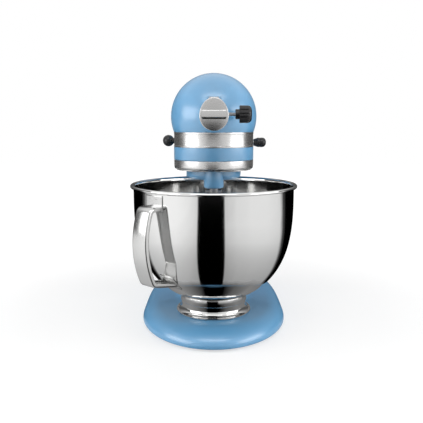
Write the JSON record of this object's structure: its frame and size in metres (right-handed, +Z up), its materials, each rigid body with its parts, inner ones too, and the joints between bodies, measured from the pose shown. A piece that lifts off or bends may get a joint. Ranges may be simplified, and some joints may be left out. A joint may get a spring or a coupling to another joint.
{
  "type": "stand mixer",
  "caption": "Tilt-head kitchen stand mixer with a polished steel bowl and handle, satin light blue painted stand and head, steel trim and black knobs.",
  "frame": {"origin": "centre of the bounding box at the table, under the feet", "axes": "+Z up, the head and hub point to -Y, +X is the side of the head lock and thumbscrew"},
  "size_m": [0.228, 0.359, 0.3517],
  "materials": {
    "paint": "satin light blue",
    "steel": "brushed",
    "bowl_steel": "polished",
    "black_plastic": "satin black",
    "rubber": "matt",
    "laminations": "dull",
    "copper": "enamelled wire",
    "bronze": "sintered",
    "brass": "machined",
    "gear_steel": "machined",
    "carbon": "dull carbon",
    "cast_alloy": "cast",
    "board": "circuit board"
  },
  "bodies": {
    "stand": {"base_foot": "paint", "rubber_feet": "rubber", "clamp_plate": "gear_steel", "clamp_plate_screws": "gear_steel", "column": "paint", "column_screws": "gear_steel", "hinge_pin": "gear_steel", "hinge_set_screw": "gear_steel", "height_screw": "gear_steel"},
    "head": {"upper_housing": "paint", "lower_gearcase": "paint", "trim_band": "steel", "rear_cover": "paint", "rear_cover_screw": "gear_steel", "housing_screws": "gear_steel", "drip_ring": "steel", "cord_inlet": "black_plastic", "hub_socket": "steel", "hub_cover_pin": "gear_steel", "speed_board": "board", "motor_field": "laminations", "field_coils": "copper", "motor_bearings": "bronze", "brush_holders": "brass", "carbon_brushes": "carbon", "brush_springs": "gear_steel", "brush_caps": "black_plastic", "gear_bracket": "cast_alloy", "rear_bracket": "cast_alloy", "shaft_bushes": "bronze", "ring_gear": "gear_steel"},
    "cover_flap": {"hub_cover": "steel"},
    "thumb_stem": {"thumbscrew_stem": "steel"},
    "thumb_knob": {"thumbscrew_knob": "black_plastic"},
    "speed_control": {"speed_lever": "steel", "speed_knob": "black_plastic"},
    "head_lock": {"lock_lever": "steel", "lock_knob": "black_plastic", "lock_hook": "gear_steel"},
    "armature": {"armature_core": "laminations", "armature_windings": "copper", "armature_shaft": "gear_steel", "worm": "gear_steel", "commutator": "copper", "cooling_fan": "black_plastic"},
    "wheel": {"worm_wheel": "bronze", "worm_wheel_shaft": "gear_steel", "wheel_pinion": "gear_steel"},
    "drive": {"center_gear": "gear_steel", "planetary_shaft": "gear_steel", "planetary": "paint", "planetary_pin": "gear_steel"},
    "hub_drive": {"hub_gear": "gear_steel", "hub_shaft": "gear_steel"},
    "beater": {"planet_pinion": "gear_steel", "beater_shaft": "gear_steel", "beater_pin": "gear_steel"},
    "bowl_set": {"bowl": "bowl_steel", "bowl_foot": "bowl_steel", "bowl_handle": "bowl_steel"}
  },
  "joints": [
    {"name": "head_tilt", "type": "hinge", "parent": "stand", "child": "head", "pos_m": [0, 0.1045, 0.232], "axis": [-1, 0, 0], "range_deg": [0, 45]},
    {"name": "bowl_turn", "type": "hinge", "parent": "stand", "child": "bowl_set", "pos_m": [0, -0.0655, 0.0246], "axis": [0, 0, 1], "range_deg": [0, 30]},
    {"name": "hub_cover_flip", "type": "hinge", "parent": "head", "child": "cover_flap", "pos_m": [0, -0.1425, 0.3145], "axis": [-1, 0, 0], "range_deg": [0, 95]},
    {"name": "thumbscrew_travel", "type": "slide", "parent": "head", "child": "thumb_stem", "axis": [-1, 0, 0], "range_m": [0, 0.002]},
    {"name": "thumbscrew_turn", "type": "hinge", "parent": "thumb_stem", "child": "thumb_knob", "pos_m": [0, -0.1355, 0.2964], "axis": [-1, 0, 0], "range_deg": [-3, 723]},
    {"name": "speed_lever_turn", "type": "hinge", "parent": "head", "child": "speed_control", "pos_m": [-0.03, 0.02405, 0.259], "axis": [0, 0, 1], "range_deg": [0, 30]},
    {"name": "head_lock_slide", "type": "slide", "parent": "head", "child": "head_lock", "axis": [0, 1, 0], "range_m": [0, 0.012]},
    {"name": "armature_spin", "type": "hinge", "parent": "head", "child": "armature", "pos_m": [0, 0.0345, 0.2941], "axis": [0, 1, 0], "continuous": true},
    {"name": "worm_wheel_spin", "type": "hinge", "parent": "head", "child": "wheel", "pos_m": [0.025, -0.02808, 0.2941], "axis": [0, 0, 1], "continuous": true},
    {"name": "planetary_spin", "type": "hinge", "parent": "head", "child": "drive", "pos_m": [0, -0.0655, 0.211], "axis": [0, 0, 1], "continuous": true},
    {"name": "hub_drive_spin", "type": "hinge", "parent": "head", "child": "hub_drive", "pos_m": [0, -0.0955, 0.2941], "axis": [0, 1, 0], "continuous": true},
    {"name": "beater_spin", "type": "hinge", "parent": "drive", "child": "beater", "pos_m": [0, -0.09438, 0.211], "axis": [0, 0, 1], "continuous": true}
  ],
  "couplings": [
    {"joint": "worm_wheel_spin", "follows": "armature_spin", "ratio": -0.083333},
    {"joint": "planetary_spin", "follows": "armature_spin", "ratio": 0.020833},
    {"joint": "beater_spin", "follows": "armature_spin", "ratio": -0.06994},
    {"joint": "hub_drive_spin", "follows": "armature_spin", "ratio": -0.034722},
    {"joint": "thumbscrew_turn", "follows": "thumbscrew_travel", "rad_per_m": 6283.2}
  ]
}
